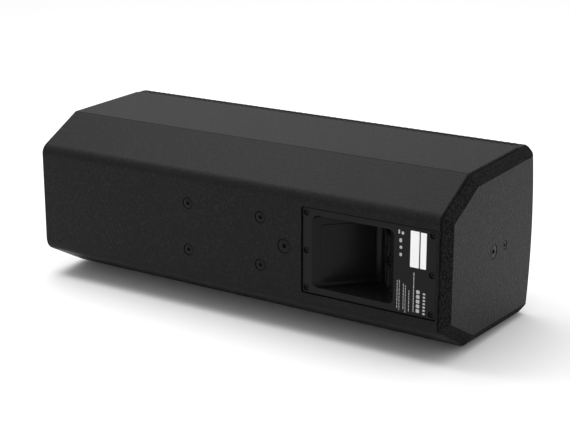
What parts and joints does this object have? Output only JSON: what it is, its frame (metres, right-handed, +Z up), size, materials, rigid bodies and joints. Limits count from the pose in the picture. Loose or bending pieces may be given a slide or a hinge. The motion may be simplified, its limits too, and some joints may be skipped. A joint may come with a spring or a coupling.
{
  "type": "install loudspeaker cabinet",
  "caption": "Elongated black loudspeaker cabinet with chamfered rear corners, bevelled end caps, a wrap-over grille, a recessed connector dish and flush rigging screws.",
  "frame": {"origin": "middle of the base, under the cabinet lying on its long side, at the height of its lowest front edge", "axes": "+X along the cabinet away from the connector panel, -Y out of the grille, +Y out of the rear face, +Z up"},
  "size_m": [0.714, 0.272, 0.2561],
  "materials": {
    "cabinet_paint": "black structured paint on plywood",
    "cap_paint": "black structured paint, coarser grain on the bevel",
    "grille_paint": "black powder coat",
    "moulded_plastic": "smooth black moulding",
    "socket_plastic": "black satin plastic",
    "black_steel": "black oxide",
    "plated_steel": "zinc plated",
    "ferrite": "dull dark ferrite",
    "plywood": "birch plywood, bare",
    "foam": "open-cell foam",
    "cone_paper": "coated paper pulp",
    "surround_rubber": "matt",
    "spider_cloth": "resin-dipped cloth",
    "coil_copper": "copper wire, lacquered",
    "diaphragm_metal": "thin metal dome",
    "driver_casting": "black-painted casting",
    "circuit_board": "glass-fibre board",
    "component_film": "film wrap"
  },
  "bodies": {
    "cabinet": {"cabinet_shell": "cabinet_paint", "end_cap_left": "cap_paint", "end_cap_right": "cap_paint", "front_baffle": "plywood", "brace_left": "plywood", "brace_right": "plywood", "front_grille": "grille_paint", "grille_foam": "foam", "connector_panel": "moulded_plastic", "panel_gasket": "foam", "panel_screw_1": "black_steel", "panel_screw_2": "black_steel", "panel_screw_3": "black_steel", "panel_screw_4": "black_steel", "panel_screw_5": "black_steel", "panel_screw_6": "black_steel", "plug_socket_1": "socket_plastic", "plug_socket_2": "socket_plastic", "rigging_screw_m8_1": "black_steel", "rigging_screw_m8_2": "black_steel", "rigging_screw_m8_3": "black_steel", "rigging_screw_m8_4": "black_steel", "rigging_screw_m10": "black_steel", "end_screw_m10_left": "black_steel", "end_screw_m10_right": "black_steel", "end_screw_m6_left": "black_steel", "end_screw_m6_right": "black_steel", "rigging_plate_rear": "plated_steel", "rigging_plate_left": "plated_steel", "rigging_plate_right": "plated_steel", "woofer_basket_left": "driver_casting", "woofer_top_plate_left": "plated_steel", "woofer_magnet_left": "ferrite", "woofer_yoke_left": "plated_steel", "woofer_spider_left": "spider_cloth", "woofer_surround_left": "surround_rubber", "woofer_basket_right": "driver_casting", "woofer_top_plate_right": "plated_steel", "woofer_magnet_right": "ferrite", "woofer_yoke_right": "plated_steel", "woofer_spider_right": "spider_cloth", "woofer_surround_right": "surround_rubber", "horn": "moulded_plastic", "driver_motor": "ferrite", "driver_cover": "driver_casting", "crossover_board": "circuit_board", "inductor_low": "coil_copper", "inductor_high": "coil_copper", "capacitor": "component_film", "resistor": "driver_casting", "damping_pad": "foam"},
    "cone_left": {"woofer_cone_left": "cone_paper", "woofer_dust_cap_left": "cone_paper", "woofer_voice_coil_left": "coil_copper"},
    "cone_right": {"woofer_cone_right": "cone_paper", "woofer_dust_cap_right": "cone_paper", "woofer_voice_coil_right": "coil_copper"},
    "diaphragm": {"driver_diaphragm": "diaphragm_metal"}
  },
  "joints": [
    {"name": "cone_travel_left", "type": "slide", "parent": "cabinet", "child": "cone_left", "axis": [0, -1, 0], "range_m": [-0.005, 0.005], "stiffness_N_per_m": 2200, "deforming": ["woofer_surround_left", "woofer_spider_left"]},
    {"name": "cone_travel_right", "type": "slide", "parent": "cabinet", "child": "cone_right", "axis": [0, -1, 0], "range_m": [-0.005, 0.005], "stiffness_N_per_m": 2200, "deforming": ["woofer_surround_right", "woofer_spider_right"]},
    {"name": "diaphragm_travel", "type": "slide", "parent": "cabinet", "child": "diaphragm", "axis": [0, -1, 0], "range_m": [-0.0003, 0.0003], "stiffness_N_per_m": 20000}
  ]
}
